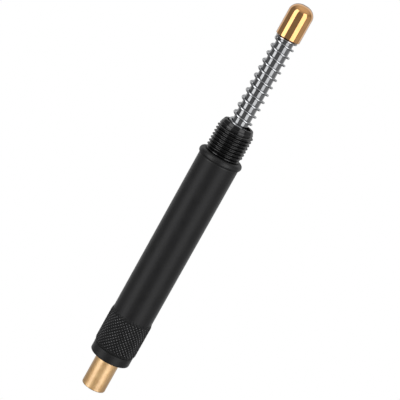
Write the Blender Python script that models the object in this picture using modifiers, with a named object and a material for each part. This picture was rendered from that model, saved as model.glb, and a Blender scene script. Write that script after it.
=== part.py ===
"""Desoldering pump: a slim all-metal push pump with a brass nozzle and an outside spring.

The pump stands along +Z, nozzle down. The origin is the centre of the nozzle's end face.
Lengths are in metres, written as millimetres times MM. The plunger is fully out.
"""

from math import cos, pi, radians, sin

import bmesh
import bpy

MM = 0.001

# Clearances
GAP = 0.3 * MM  # between pieces that touch
RUN_GAP = 0.25 * MM  # round the rod in its bush, and round O-rings in their grooves

# Nozzle
SLEEVE_RADIUS = 5.35 * MM
SLEEVE_REACH = 15.1 * MM  # from the end face to the collar
SLEEVE_CHAMFER = 0.35 * MM
SLEEVE_SEAT_DEPTH = 1.3 * MM  # how far the full diameter goes into the collar
NOZZLE_BORE_RADIUS = 1.5 * MM
NOZZLE_TUBE_WALL = 1.0 * MM
NOZZLE_TUBE_RECESS = 0.6 * MM
STUB_WALL = 1.1 * MM  # upper, stepped-down part of the sleeve
NOZZLE_O_RING_SECTION = 0.9 * MM
LOCK_NUT_HEIGHT = 2.2 * MM
LOCK_NUT_WALL = 1.3 * MM  # from its bore to its corners

# Front collar
COLLAR_RING_HEIGHT = 4.3 * MM
COLLAR_EDGE = 0.6 * MM  # rounding of the ring's lower edge
COLLAR_SPIGOT_LENGTH = 9.2 * MM
COLLAR_SPIGOT_CHAMFER = 0.5 * MM
COLLAR_GROOVE_BELOW_TOP = 1.2 * MM
COLLAR_O_RING_SECTION = 1.2 * MM
LANDING_BUMPER_HEIGHT = 3.0 * MM

# Barrel
BARREL_RADIUS = 9.0 * MM
BARREL_WALL = 1.5 * MM
BARREL_LENGTH = 92.0 * MM
BARREL_TOP_CHAMFER = 0.3 * MM
KNURL_LENGTH = 17.0 * MM
KNURL_RISE = 0.45 * MM  # knurl crests above the plain barrel
KNURL_CHAMFER = 1.0 * MM
KNURL_RUN_OUT = 2.0 * MM

# Plunger
STROKE = 34.0 * MM
ROD_RADIUS = 3.55 * MM
ROD_STUD_RADIUS = 2.0 * MM  # turned-down ends of the rod, in the knob and in the piston
ROD_EDGE = 0.3 * MM
KNOB_ABOVE_NECK = 40.4 * MM
KNOB_RADIUS = 5.3 * MM
KNOB_STRAIGHT = 10.65 * MM
KNOB_DOME_HEIGHT = 4.1 * MM
KNOB_FLAT_RADIUS = 0.6 * MM  # at the dome's top
KNOB_BASE_CHAMFER = 0.25 * MM
KNOB_STUD_DEPTH = 7.6 * MM
PISTON_LENGTH = 12.0 * MM
PISTON_RECESS_DEPTH = 3.4 * MM
PISTON_O_RING_SECTION = 1.2 * MM
PISTON_GROOVE_INSET = 1.6 * MM  # from the piston's ends to its grooves
PISTON_WASHER_THICKNESS = 1.0 * MM
PISTON_WASHER_INSET = 0.6 * MM
FRONT_WASHER_THICKNESS = 0.7 * MM
PISTON_NUT_HEIGHT = 1.7 * MM
PISTON_NUT_WALL = 1.8 * MM
PIN_RADIUS = 0.9 * MM
PIN_SHY = 0.4 * MM  # short of the nozzle's end face when fully pressed
PIN_POINT_LENGTH = 1.5 * MM
PIN_SOCKET_DEPTH = 3.9 * MM
STOP_CLIP_THICKNESS = 0.8 * MM
STOP_CLIP_GROOVE_DEPTH = 0.8 * MM
STOP_CLIP_RIM = 2.2 * MM  # beyond the rod

# Neck
NECK_SPIGOT_LENGTH = 16.2 * MM
NECK_O_RING_SECTION = 3.2 * MM
NECK_O_RING_RISE = 0.7 * MM  # bead beyond the barrel
NECK_THREAD_LENGTH = 11.5 * MM
NECK_NOSE_LENGTH = 2.4 * MM
NECK_WALL = 2.5 * MM  # from the mouth to the thread's crest
NECK_RIM_WIDTH = 0.95 * MM
NECK_THREAD_CHAMFER = 0.6 * MM
MOUTH_GAP = 0.65 * MM  # from the spring to the mouth's wall
MOUTH_DEPTH = 13.3 * MM
BUSH_WALL = 0.65 * MM
RING_THICKNESS = 0.8 * MM  # circlip under the bush
RING_ABOVE_NECK_END = 1.6 * MM
RING_GROOVE_DEPTH = 0.9 * MM
STOP_BUMPER_THICKNESS = 2.0 * MM
STOP_BUMPER_BORE_GAP = 0.5 * MM
SEAT_WASHER_THICKNESS = 0.6 * MM

# Spring
WIRE_RADIUS = 0.475 * MM
SPRING_PITCH = 3.45 * MM
END_TURNS = 0.7  # flat turns at each end
WIRE_TIP_ANGLE = 166.0  # where the wire ends under the knob, in degrees from +X
SPRING_POINTS_PER_TURN = 12

# Roundness of the meshes
ROUND_STEPS = 32
SMALL_ROUND_STEPS = 24
O_RING_SECTION_STEPS = 8
ARC_STEPS = 4
DOME_STEPS = 8
RETAINING_GAP_ANGLE = 40.0  # opening of the circlip and of the stop clip, in degrees
CUTTER_OVERRUN = 2.0  # a cutter's height over the height of what it cuts

# Radii worked out from the sizes above
nozzle_tube_radius = NOZZLE_BORE_RADIUS + NOZZLE_TUBE_WALL
sleeve_bore_radius = nozzle_tube_radius + GAP
stub_radius = sleeve_bore_radius + STUB_WALL
barrel_bore_radius = BARREL_RADIUS - BARREL_WALL
spigot_radius = barrel_bore_radius - GAP
piston_radius = barrel_bore_radius - GAP
spring_radius = ROD_RADIUS + GAP + WIRE_RADIUS
spring_outer_radius = spring_radius + WIRE_RADIUS
mouth_radius = spring_outer_radius + MOUTH_GAP
thread_radius = mouth_radius + NECK_WALL
bush_bore_radius = ROD_RADIUS + RUN_GAP
bush_radius = bush_bore_radius + BUSH_WALL
neck_bore_radius = bush_radius + GAP

# Heights worked out from the sizes above, from the nozzle up
collar_bottom = SLEEVE_REACH
ring_top = collar_bottom + COLLAR_RING_HEIGHT
spigot_top = ring_top + COLLAR_SPIGOT_LENGTH
sleeve_step = collar_bottom + SLEEVE_SEAT_DEPTH
collar_seat = sleeve_step + NOZZLE_O_RING_SECTION + 2 * RUN_GAP
stub_top = spigot_top + GAP + LOCK_NUT_HEIGHT
landing_top = spigot_top + GAP + LANDING_BUMPER_HEIGHT
barrel_bottom = ring_top + GAP
barrel_top = barrel_bottom + BARREL_LENGTH
neck_bottom = barrel_top - NECK_SPIGOT_LENGTH
neck_bead_top = barrel_top + 2 * GAP + NECK_O_RING_SECTION
thread_top = neck_bead_top + GAP + NECK_THREAD_LENGTH
neck_top = thread_top + NECK_NOSE_LENGTH
mouth_floor = neck_top - MOUTH_DEPTH
seat_washer_bottom = mouth_floor + GAP
spring_bottom = seat_washer_bottom + SEAT_WASHER_THICKNESS + GAP
knob_bottom = neck_top + KNOB_ABOVE_NECK
rod_top_shoulder = knob_bottom - GAP
spring_top = knob_bottom - GAP
stop_bumper_bottom = neck_bottom - GAP - STOP_BUMPER_THICKNESS
stop_clip_bottom = stop_bumper_bottom - GAP - STOP_CLIP_THICKNESS
piston_bottom = landing_top + GAP + STROKE
piston_top = piston_bottom + PISTON_LENGTH
back_washer_bottom = piston_top + GAP
rod_lower_shoulder = back_washer_bottom + PISTON_WASHER_THICKNESS + GAP
recess_floor = piston_bottom + PISTON_RECESS_DEPTH
front_washer_bottom = recess_floor - GAP - FRONT_WASHER_THICKNESS
piston_nut_bottom = front_washer_bottom - GAP - PISTON_NUT_HEIGHT
rod_end = piston_nut_bottom
pin_tip = PIN_SHY + STROKE


# Scene set-up


def empty_scene():
    for item in list(bpy.data.objects):
        bpy.data.objects.remove(item, do_unlink=True)


def new_collection(name):
    collection = bpy.data.collections.new(name)
    bpy.context.scene.collection.children.link(collection)
    return collection


def new_material(name, color, roughness, metallic):
    material = bpy.data.materials.new(name)
    material.use_nodes = True
    shader = material.node_tree.nodes["Principled BSDF"]
    shader.inputs["Base Color"].default_value = (*color, 1.0)
    shader.inputs["Roughness"].default_value = roughness
    shader.inputs["Metallic"].default_value = metallic
    return material


def new_axis(name, height):
    """Empty on the pump's axis, which a moving group hangs from."""
    axis = bpy.data.objects.new(name, None)
    axis.location = (0.0, 0.0, height)
    axis.empty_display_size = 0.01
    parts.objects.link(axis)
    bpy.context.view_layer.update()
    return axis


def hang(piece, parent):
    """Parent a piece to an axis and leave it where it is."""
    bpy.context.view_layer.update()
    piece.parent = parent
    piece.matrix_parent_inverse = parent.matrix_world.inverted()
    return piece


def finish_piece(piece, material):
    piece.data.materials.clear()
    piece.data.materials.append(material)
    piece.data.shade_smooth()
    piece.data.set_sharp_from_angle(angle=radians(35.0))
    return piece


# Shapes


def arc(center_radius, center_height, radius, start, end, steps=ARC_STEPS):
    """Points along a rounded corner; angles are in degrees, 0 is outwards and 90 is up."""
    points = []
    for step in range(steps + 1):
        angle = radians(start + (end - start) * step / steps)
        point = (center_radius + radius * cos(angle), center_height + radius * sin(angle))
        points.append(point)
    return points


def turned_mesh(name, outline, closed, height):
    """Lathe outline as edges at +X; the outline's heights are above the piece's own foot."""
    mesh = bpy.data.meshes.new(name)
    shape = bmesh.new()
    verts = [shape.verts.new((radius, 0.0, z - height)) for radius, z in outline]
    for first, second in zip(verts, verts[1:]):
        shape.edges.new((first, second))
    if closed:
        shape.edges.new((verts[-1], verts[0]))
    shape.to_mesh(mesh)
    shape.free()
    return mesh


def turn(name, outline, material, closed=True, steps=ROUND_STEPS):
    """Turned piece: the outline runs down the outer side, and back up the bore if it has one."""
    foot = min(z for radius, z in outline)
    piece = bpy.data.objects.new(name, turned_mesh(name, outline, closed, foot))
    piece.location = (0.0, 0.0, foot)
    parts.objects.link(piece)
    screw = piece.modifiers.new("turn", "SCREW")
    screw.axis = "Z"
    screw.angle = 2 * pi
    screw.steps = steps
    screw.render_steps = steps
    screw.use_merge_vertices = True
    screw.merge_threshold = 0.00001
    screw.use_smooth_shade = True
    return finish_piece(piece, material)


def turn_ring(name, inner, outer, bottom, thickness, material, steps=ROUND_STEPS):
    """Flat washer or plain bush."""
    top = bottom + thickness
    outline = [(outer, top), (outer, bottom), (inner, bottom), (inner, top)]
    return turn(name, outline, material, steps=steps)


def o_ring(name, center_radius, section, center_height, material, steps=ROUND_STEPS):
    bpy.ops.mesh.primitive_torus_add(
        major_segments=steps,
        minor_segments=O_RING_SECTION_STEPS,
        major_radius=center_radius,
        minor_radius=section / 2,
        location=(0.0, 0.0, center_height),
    )
    piece = bpy.context.object
    piece.name = name
    piece.data.name = name
    for owner in list(piece.users_collection):
        owner.objects.unlink(piece)
    parts.objects.link(piece)
    return finish_piece(piece, material)


def new_cutter(name, mesh, location=(0.0, 0.0, 0.0), turn_angle=0.0):
    cutter = bpy.data.objects.new(name, mesh)
    cutter.location = location
    cutter.rotation_euler = (0.0, 0.0, turn_angle)
    cutter.hide_render = True
    cutter.display_type = "WIRE"
    cutters.objects.link(cutter)
    return cutter


def cut(piece, cutter):
    boolean = piece.modifiers.new("cut " + cutter.name, "BOOLEAN")
    boolean.operation = "DIFFERENCE"
    boolean.solver = "EXACT"
    boolean.object = cutter


def prism_mesh(name, sides, radius, height):
    """Upright prism or cylinder about its own middle."""
    mesh = bpy.data.meshes.new(name)
    shape = bmesh.new()
    bmesh.ops.create_cone(
        shape, cap_ends=True, segments=sides, radius1=radius, radius2=radius, depth=height
    )
    shape.to_mesh(mesh)
    shape.free()
    return mesh


def hex_nut(name, bore_radius, wall, bottom, height, material):
    """Six-sided nut; the wall is measured at its corners."""
    center = (0.0, 0.0, bottom + height / 2)
    piece = bpy.data.objects.new(name, prism_mesh(name, 6, bore_radius + wall, height))
    piece.location = center
    parts.objects.link(piece)
    bore = prism_mesh(name + " bore", SMALL_ROUND_STEPS, bore_radius, height * CUTTER_OVERRUN)
    cut(piece, new_cutter(name + " bore", bore, center))
    return finish_piece(piece, material)


def split_ring(name, inner, outer, bottom, thickness, material):
    """Spring-steel ring with a gap towards +X."""
    piece = turn_ring(name, inner, outer, bottom, thickness, material)
    half_gap_angle = radians(RETAINING_GAP_ANGLE / 2)
    width = 2 * inner * sin(half_gap_angle)
    mesh = bpy.data.meshes.new(name + " gap")
    shape = bmesh.new()
    bmesh.ops.create_cube(shape, size=1.0)
    bmesh.ops.scale(shape, vec=(outer, width, thickness * CUTTER_OVERRUN), verts=shape.verts)
    shape.to_mesh(mesh)
    shape.free()
    middle = (inner * cos(half_gap_angle) - GAP + outer / 2, 0.0, bottom + thickness / 2)
    cut(piece, new_cutter(name + " gap", mesh, middle))
    return piece


# Front end


def make_nozzle_sleeve():
    outline = [
        (stub_radius, stub_top),
        (stub_radius, sleeve_step),
        (SLEEVE_RADIUS, sleeve_step),
        (SLEEVE_RADIUS, SLEEVE_CHAMFER),
        (SLEEVE_RADIUS - SLEEVE_CHAMFER, 0.0),
        (sleeve_bore_radius, 0.0),
        (sleeve_bore_radius, stub_top),
    ]
    return turn("nozzle_sleeve", outline, satin_brass)


def make_nozzle_tube():
    bottom = NOZZLE_TUBE_RECESS
    return turn_ring(
        "nozzle_tube", NOZZLE_BORE_RADIUS, nozzle_tube_radius, bottom, stub_top - bottom, white_ptfe,
        steps=SMALL_ROUND_STEPS,
    )


def make_nozzle_o_ring():
    center = stub_radius + RUN_GAP + NOZZLE_O_RING_SECTION / 2
    height = sleeve_step + RUN_GAP + NOZZLE_O_RING_SECTION / 2
    return o_ring("nozzle_o_ring", center, NOZZLE_O_RING_SECTION, height, black_rubber, SMALL_ROUND_STEPS)


def make_front_collar():
    """Ring flush with the barrel, and a spigot that screws into it, with a groove for its seal."""
    groove_top = spigot_top - COLLAR_GROOVE_BELOW_TOP
    groove_bottom = groove_top - COLLAR_O_RING_SECTION - 2 * RUN_GAP
    groove_radius = spigot_radius - COLLAR_O_RING_SECTION - RUN_GAP
    chamfer = COLLAR_SPIGOT_CHAMFER
    outline = [
        (spigot_radius - chamfer, spigot_top),
        (spigot_radius, spigot_top - chamfer),
        (spigot_radius, groove_top),
        (groove_radius, groove_top),
        (groove_radius, groove_bottom),
        (spigot_radius, groove_bottom),
        (spigot_radius, ring_top),
        (BARREL_RADIUS, ring_top),
    ]
    outline += arc(
        BARREL_RADIUS - COLLAR_EDGE, collar_bottom + COLLAR_EDGE, COLLAR_EDGE, 0.0, -90.0
    )
    outline += [
        (SLEEVE_RADIUS + GAP, collar_bottom),
        (SLEEVE_RADIUS + GAP, collar_seat),
        (stub_radius + GAP, collar_seat),
        (stub_radius + GAP, spigot_top),
    ]
    return turn("front_collar", outline, black_anodised)


def make_collar_o_ring():
    height = spigot_top - COLLAR_GROOVE_BELOW_TOP - RUN_GAP - COLLAR_O_RING_SECTION / 2
    center = spigot_radius - COLLAR_O_RING_SECTION / 2
    return o_ring("collar_o_ring", center, COLLAR_O_RING_SECTION, height, black_rubber)


def make_nozzle_lock_nut():
    return hex_nut(
        "nozzle_lock_nut", stub_radius + GAP, LOCK_NUT_WALL, spigot_top + GAP, LOCK_NUT_HEIGHT, zinc_steel
    )


def make_landing_bumper():
    inner = stub_radius + GAP + LOCK_NUT_WALL + GAP
    return turn_ring(
        "landing_bumper", inner, spigot_radius, spigot_top + GAP, LANDING_BUMPER_HEIGHT, black_rubber
    )


# Barrel and neck


def make_barrel_tube():
    knurl_radius = BARREL_RADIUS + KNURL_RISE
    knurl_top = barrel_bottom + KNURL_LENGTH
    outline = [
        (BARREL_RADIUS - BARREL_TOP_CHAMFER, barrel_top),
        (BARREL_RADIUS, barrel_top - BARREL_TOP_CHAMFER),
        (BARREL_RADIUS, knurl_top),
        (knurl_radius, knurl_top - KNURL_RUN_OUT),
        (knurl_radius, barrel_bottom + KNURL_CHAMFER),
        (BARREL_RADIUS, barrel_bottom),
        (barrel_bore_radius, barrel_bottom),
        (barrel_bore_radius, barrel_top),
    ]
    return turn("barrel_tube", outline, black_anodised)


def make_threaded_neck():
    """Spigot in the barrel, groove for the bead, thread at its full diameter, nose and mouth."""
    groove_radius = BARREL_RADIUS + NECK_O_RING_RISE - NECK_O_RING_SECTION - GAP
    ring_groove_radius = neck_bore_radius + RING_GROOVE_DEPTH
    ring_bottom = neck_bottom + RING_ABOVE_NECK_END
    rim_radius = mouth_radius + NECK_RIM_WIDTH
    outline = [
        (rim_radius - GAP, neck_top),
        (rim_radius, neck_top - GAP),
        (thread_radius - NECK_THREAD_CHAMFER, thread_top),
        (thread_radius, thread_top - NECK_THREAD_CHAMFER),
        (thread_radius, neck_bead_top),
        (groove_radius, neck_bead_top),
        (groove_radius, barrel_top),
        (spigot_radius, barrel_top),
        (spigot_radius, neck_bottom),
        (neck_bore_radius, neck_bottom),
        (neck_bore_radius, ring_bottom - GAP),
        (ring_groove_radius, ring_bottom - GAP),
        (ring_groove_radius, ring_bottom + RING_THICKNESS + GAP),
        (neck_bore_radius, ring_bottom + RING_THICKNESS + GAP),
        (neck_bore_radius, mouth_floor),
        (mouth_radius, mouth_floor),
        (mouth_radius, neck_top),
    ]
    return turn("threaded_neck", outline, black_anodised)


def make_neck_o_ring():
    center = BARREL_RADIUS + NECK_O_RING_RISE - NECK_O_RING_SECTION / 2
    height = barrel_top + GAP + NECK_O_RING_SECTION / 2
    return o_ring("neck_o_ring", center, NECK_O_RING_SECTION, height, black_rubber)


def make_rod_guide_bush():
    ring_top_face = neck_bottom + RING_ABOVE_NECK_END + RING_THICKNESS
    bottom = ring_top_face + 2 * GAP
    return turn_ring(
        "rod_guide_bush", bush_bore_radius, bush_radius, bottom, mouth_floor - bottom, bronze
    )


def make_bush_retaining_ring():
    bottom = neck_bottom + RING_ABOVE_NECK_END
    outer = neck_bore_radius + RING_GROOVE_DEPTH - GAP
    inner = ROD_RADIUS + STOP_BUMPER_BORE_GAP
    return split_ring("bush_retaining_ring", inner, outer, bottom, RING_THICKNESS, spring_steel)


def make_stop_bumper():
    return turn_ring(
        "stop_bumper", ROD_RADIUS + STOP_BUMPER_BORE_GAP, spigot_radius,
        stop_bumper_bottom, STOP_BUMPER_THICKNESS, black_rubber,
    )


def make_spring_seat_washer():
    return turn_ring(
        "spring_seat_washer", ROD_RADIUS + GAP, mouth_radius - GAP,
        seat_washer_bottom, SEAT_WASHER_THICKNESS, zinc_steel,
    )


def spring_point(turns_done, open_turns):
    """Point on the wire's middle line: flat turns at both ends, open coils between them."""
    first = spring_bottom + WIRE_RADIUS
    open_done = min(max(turns_done - END_TURNS, 0.0), open_turns)
    turns_left = open_turns + 2 * END_TURNS - turns_done
    angle = radians(WIRE_TIP_ANGLE) + 2 * pi * turns_left
    return (spring_radius * cos(angle), spring_radius * sin(angle), first + SPRING_PITCH * open_done)


def make_return_spring():
    """Left-hand coil of round wire."""
    open_turns = (spring_top - spring_bottom - 2 * WIRE_RADIUS) / SPRING_PITCH
    total_turns = open_turns + 2 * END_TURNS
    steps = round(total_turns * SPRING_POINTS_PER_TURN)
    curve = bpy.data.curves.new("return_spring", "CURVE")
    curve.dimensions = "3D"
    curve.bevel_depth = WIRE_RADIUS
    curve.bevel_resolution = 2
    curve.use_fill_caps = True
    wire = curve.splines.new("POLY")
    wire.points.add(steps)
    for step, point in enumerate(wire.points):
        x, y, z = spring_point(total_turns * step / steps, open_turns)
        point.co = (x, y, z - spring_bottom, 1.0)
    piece = bpy.data.objects.new("return_spring", curve)
    piece.location = (0.0, 0.0, spring_bottom)
    piece.data.materials.append(bright_steel)
    parts.objects.link(piece)
    return piece


# Plunger


def make_plunger_rod():
    """Rod with a stud at each end, a groove for the stop clip and a socket for the pin."""
    stud_top = knob_bottom + KNOB_STUD_DEPTH - GAP
    groove_bottom = stop_clip_bottom - GAP
    groove_top = stop_clip_bottom + STOP_CLIP_THICKNESS + GAP
    groove_radius = ROD_RADIUS - STOP_CLIP_GROOVE_DEPTH
    socket_radius = PIN_RADIUS + GAP
    socket_top = rod_end + PIN_SOCKET_DEPTH
    outline = [
        (0.0, stud_top),
        (ROD_STUD_RADIUS, stud_top),
        (ROD_STUD_RADIUS, rod_top_shoulder),
        (ROD_RADIUS, rod_top_shoulder),
        (ROD_RADIUS, groove_top),
        (groove_radius, groove_top),
        (groove_radius, groove_bottom),
        (ROD_RADIUS, groove_bottom),
        (ROD_RADIUS, rod_lower_shoulder + ROD_EDGE),
        (ROD_RADIUS - ROD_EDGE, rod_lower_shoulder),
        (ROD_STUD_RADIUS, rod_lower_shoulder),
        (ROD_STUD_RADIUS, rod_end),
        (socket_radius, rod_end),
        (socket_radius, socket_top),
        (0.0, socket_top),
    ]
    return turn("plunger_rod", outline, bright_steel, closed=False)


def make_plunger_knob():
    """Straight-sided knob with a flattened dome and a socket for the rod's stud."""
    dome_base = knob_bottom + KNOB_STRAIGHT
    socket_radius = ROD_STUD_RADIUS + GAP
    socket_top = knob_bottom + KNOB_STUD_DEPTH
    width = KNOB_RADIUS - KNOB_FLAT_RADIUS
    outline = [(0.0, dome_base + KNOB_DOME_HEIGHT)]
    for radius, height in arc(0.0, 0.0, 1.0, 90.0, 0.0, DOME_STEPS):
        outline.append((KNOB_FLAT_RADIUS + width * radius, dome_base + KNOB_DOME_HEIGHT * height))
    outline += [
        (KNOB_RADIUS, knob_bottom + KNOB_BASE_CHAMFER),
        (KNOB_RADIUS - KNOB_BASE_CHAMFER, knob_bottom),
        (socket_radius, knob_bottom),
        (socket_radius, socket_top),
        (0.0, socket_top),
    ]
    return turn("plunger_knob", outline, polished_brass, closed=False)


def make_stop_clip():
    inner = ROD_RADIUS - STOP_CLIP_GROOVE_DEPTH + GAP
    outer = ROD_RADIUS + STOP_CLIP_RIM
    return split_ring("stop_clip", inner, outer, stop_clip_bottom, STOP_CLIP_THICKNESS, spring_steel)


def piston_groove_heights():
    """Middle heights of the lower and the upper O-ring."""
    inset = PISTON_GROOVE_INSET + RUN_GAP + PISTON_O_RING_SECTION / 2
    return (piston_bottom + inset, piston_top - inset)


def make_piston_body():
    groove_radius = piston_radius - PISTON_O_RING_SECTION - RUN_GAP
    half_groove = PISTON_O_RING_SECTION / 2 + RUN_GAP
    recess_radius = ROD_STUD_RADIUS + GAP + PISTON_NUT_WALL + GAP
    outline = [(piston_radius, piston_top)]
    for middle in reversed(piston_groove_heights()):
        outline += [
            (piston_radius, middle + half_groove),
            (groove_radius, middle + half_groove),
            (groove_radius, middle - half_groove),
            (piston_radius, middle - half_groove),
        ]
    outline += [
        (piston_radius, piston_bottom),
        (recess_radius, piston_bottom),
        (recess_radius, recess_floor),
        (ROD_STUD_RADIUS + GAP, recess_floor),
        (ROD_STUD_RADIUS + GAP, piston_top),
    ]
    return turn("piston_body", outline, plain_aluminium)


def make_piston_o_rings():
    center = piston_radius - PISTON_O_RING_SECTION / 2
    rings = []
    for side, height in zip(("lower", "upper"), piston_groove_heights()):
        rings.append(o_ring("piston_o_ring_" + side, center, PISTON_O_RING_SECTION, height, black_rubber))
    return rings


def make_piston_washers():
    back = turn_ring(
        "piston_back_washer", ROD_STUD_RADIUS + GAP, piston_radius - PISTON_WASHER_INSET,
        back_washer_bottom, PISTON_WASHER_THICKNESS, zinc_steel,
    )
    front = turn_ring(
        "piston_front_washer", ROD_STUD_RADIUS + GAP, ROD_STUD_RADIUS + GAP + PISTON_NUT_WALL,
        front_washer_bottom, FRONT_WASHER_THICKNESS, zinc_steel, steps=SMALL_ROUND_STEPS,
    )
    return [back, front]


def make_piston_nut():
    return hex_nut(
        "piston_nut", ROD_STUD_RADIUS + GAP, PISTON_NUT_WALL, piston_nut_bottom, PISTON_NUT_HEIGHT, zinc_steel
    )


def make_cleaning_pin():
    top = rod_end + PIN_SOCKET_DEPTH - GAP
    outline = [
        (0.0, top),
        (PIN_RADIUS, top),
        (PIN_RADIUS, pin_tip + PIN_POINT_LENGTH),
        (PIN_RADIUS / 2, pin_tip),
        (0.0, pin_tip),
    ]
    return turn("cleaning_pin", outline, bright_steel, closed=False, steps=SMALL_ROUND_STEPS)


# The whole pump


empty_scene()
parts = new_collection("desoldering_pump")
cutters = new_collection("cutters")

black_anodised = new_material("black anodised aluminium", (0.018, 0.018, 0.019), 0.42, 0.6)
satin_brass = new_material("satin brass", (0.78, 0.53, 0.27), 0.32, 1.0)
polished_brass = new_material("polished brass", (0.80, 0.50, 0.18), 0.12, 1.0)
bright_steel = new_material("bright steel", (0.62, 0.63, 0.64), 0.18, 1.0)
zinc_steel = new_material("zinc plated steel", (0.58, 0.59, 0.60), 0.3, 1.0)
spring_steel = new_material("blued spring steel", (0.12, 0.12, 0.14), 0.35, 1.0)
plain_aluminium = new_material("plain aluminium", (0.75, 0.75, 0.76), 0.35, 1.0)
bronze = new_material("sintered bronze", (0.55, 0.36, 0.20), 0.5, 1.0)
black_rubber = new_material("black rubber", (0.025, 0.025, 0.025), 0.6, 0.0)
white_ptfe = new_material("white PTFE", (0.85, 0.85, 0.83), 0.45, 0.0)

make_barrel_tube()
make_threaded_neck()
make_neck_o_ring()
make_rod_guide_bush()
make_bush_retaining_ring()
make_stop_bumper()
make_spring_seat_washer()
make_return_spring()

front_travel_axis = new_axis("front travel axis", collar_bottom)
hang(make_collar_o_ring(), front_travel_axis)
front_turn_axis = new_axis("front turn axis", collar_bottom)
hang(front_turn_axis, front_travel_axis)
for front_piece in (
    make_front_collar(),
    make_nozzle_sleeve(),
    make_nozzle_tube(),
    make_nozzle_o_ring(),
    make_nozzle_lock_nut(),
    make_landing_bumper(),
):
    hang(front_piece, front_turn_axis)

plunger_slide_axis = new_axis("plunger slide axis", piston_bottom)
for seal in make_piston_o_rings():
    hang(seal, plunger_slide_axis)
plunger_turn_axis = new_axis("plunger turn axis", piston_bottom)
hang(plunger_turn_axis, plunger_slide_axis)
for plunger_piece in (
    make_plunger_rod(),
    make_plunger_knob(),
    make_stop_clip(),
    make_piston_body(),
    *make_piston_washers(),
    make_piston_nut(),
    make_cleaning_pin(),
):
    hang(plunger_piece, plunger_turn_axis)

bpy.context.view_layer.update()
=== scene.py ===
from math import acos, cos, pi, radians, sin, tan

import bmesh
import bpy
from bpy.props import FloatProperty, FloatVectorProperty, IntProperty, PointerProperty
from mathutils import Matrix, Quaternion, Vector


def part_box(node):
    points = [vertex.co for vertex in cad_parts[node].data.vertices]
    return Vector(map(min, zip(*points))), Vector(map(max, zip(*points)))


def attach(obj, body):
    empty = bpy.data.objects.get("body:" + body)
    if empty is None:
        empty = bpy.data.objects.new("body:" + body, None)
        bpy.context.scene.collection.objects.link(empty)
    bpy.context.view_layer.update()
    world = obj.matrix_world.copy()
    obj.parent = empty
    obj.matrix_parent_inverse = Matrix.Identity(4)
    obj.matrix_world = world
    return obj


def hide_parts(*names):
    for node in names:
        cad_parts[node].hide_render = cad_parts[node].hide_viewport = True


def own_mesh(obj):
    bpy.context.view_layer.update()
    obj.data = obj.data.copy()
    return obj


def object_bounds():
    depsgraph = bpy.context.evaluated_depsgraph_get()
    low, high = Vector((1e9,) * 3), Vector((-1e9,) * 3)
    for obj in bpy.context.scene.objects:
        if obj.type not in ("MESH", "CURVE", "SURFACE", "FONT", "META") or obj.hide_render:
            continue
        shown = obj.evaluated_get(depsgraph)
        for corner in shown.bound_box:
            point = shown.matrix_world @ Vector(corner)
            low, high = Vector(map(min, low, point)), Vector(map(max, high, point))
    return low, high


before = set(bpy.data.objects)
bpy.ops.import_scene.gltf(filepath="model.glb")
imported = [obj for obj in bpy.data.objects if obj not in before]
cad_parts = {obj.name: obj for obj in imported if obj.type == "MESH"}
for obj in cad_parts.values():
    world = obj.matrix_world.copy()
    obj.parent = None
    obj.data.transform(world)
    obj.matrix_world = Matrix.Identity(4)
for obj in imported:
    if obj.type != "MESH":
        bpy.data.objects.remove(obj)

bl_info = {
    "name": "Desoldering Pump",
    "version": (1, 0, 0),
    "blender": (4, 5, 0),
    "location": "3D Viewport > Sidebar > Pump",
    "description": "Builds the turned, knurled and threaded pieces of a metal desoldering pump",
    "category": "Object",
}

CAD_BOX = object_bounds()
MM = 0.001
GAP = 0.3 * MM  # the frame keeps this between pieces that touch
TINY = 1e-6  # metres; lengths below it count as nothing


# Sizes that the frame gives


class Span:
    """Radius, bottom and top of a round CAD node that stands on the pump's axis."""

    def __init__(self, node):
        low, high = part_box(node)
        self.radius = high[0]
        self.bottom = low[2]
        self.top = high[2]


barrel = Span("barrel_tube")
collar = Span("front_collar")
sleeve = Span("nozzle_sleeve")
nozzle = Span("nozzle_tube")
bead = Span("neck_o_ring")
neck = Span("threaded_neck")
bush = Span("rod_guide_bush")
bumper = Span("stop_bumper")
seat_washer = Span("spring_seat_washer")
spring = Span("return_spring")
rod = Span("plunger_rod")
knob = Span("plunger_knob")
stop_clip = Span("stop_clip")
back_washer = Span("piston_back_washer")

BARREL_RADIUS = collar.radius
BORE_RADIUS = bumper.radius + GAP
SPIGOT_RADIUS = bumper.radius
MOUTH_RADIUS = seat_washer.radius + GAP
NECK_BORE_RADIUS = bush.radius + GAP
SLEEVE_BORE_RADIUS = nozzle.radius + GAP
RING_TOP = barrel.bottom - GAP
THREAD_BOTTOM = bead.top + GAP


# Sizes of turned details that the frame doesn't give

RIM_WALL = 1.05 * MM  # wall of the neck at its rim
RIDGE_HEIGHT = 0.8 * MM  # of the ridge above the neck's thread
LAND_HEIGHT = 0.3 * MM  # of the plain band at the foot of the neck's thread
LAND_STEP = 0.5 * MM  # how far that band stands out from the thread's root
STUD_RADIUS = 2.0 * MM  # the rod's ends, in the knob and in the piston
PIN_SOCKET_RADIUS = 1.2 * MM
PIN_SOCKET_DEPTH = 3.9 * MM
CLIP_GROOVE_DEPTH = 0.8 * MM
DOME_HEIGHT = 4.1 * MM
DOME_FLAT = 0.6 * MM  # radius of the flat at the dome's middle
STUB_RADIUS = SLEEVE_BORE_RADIUS + 1.1 * MM  # the sleeve's thin upper end
STUB_BOTTOM = collar.bottom + 1.3 * MM
COLLAR_SEAT = STUB_BOTTOM + 1.4 * MM  # where the collar's bore narrows to the stub
SEAL_TOP = collar.top - 1.2 * MM
SEAL_BOTTOM = SEAL_TOP - 1.7 * MM
SEAL_DEPTH = 1.45 * MM
UNDERCUT = 0.8 * MM  # plain neck between the collar's ring and its thread
NOZZLE_BORE_RADIUS = 1.5 * MM

# Shape of the cut patterns: share of the wave that is flat at the foot, and where the flat top starts

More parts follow.
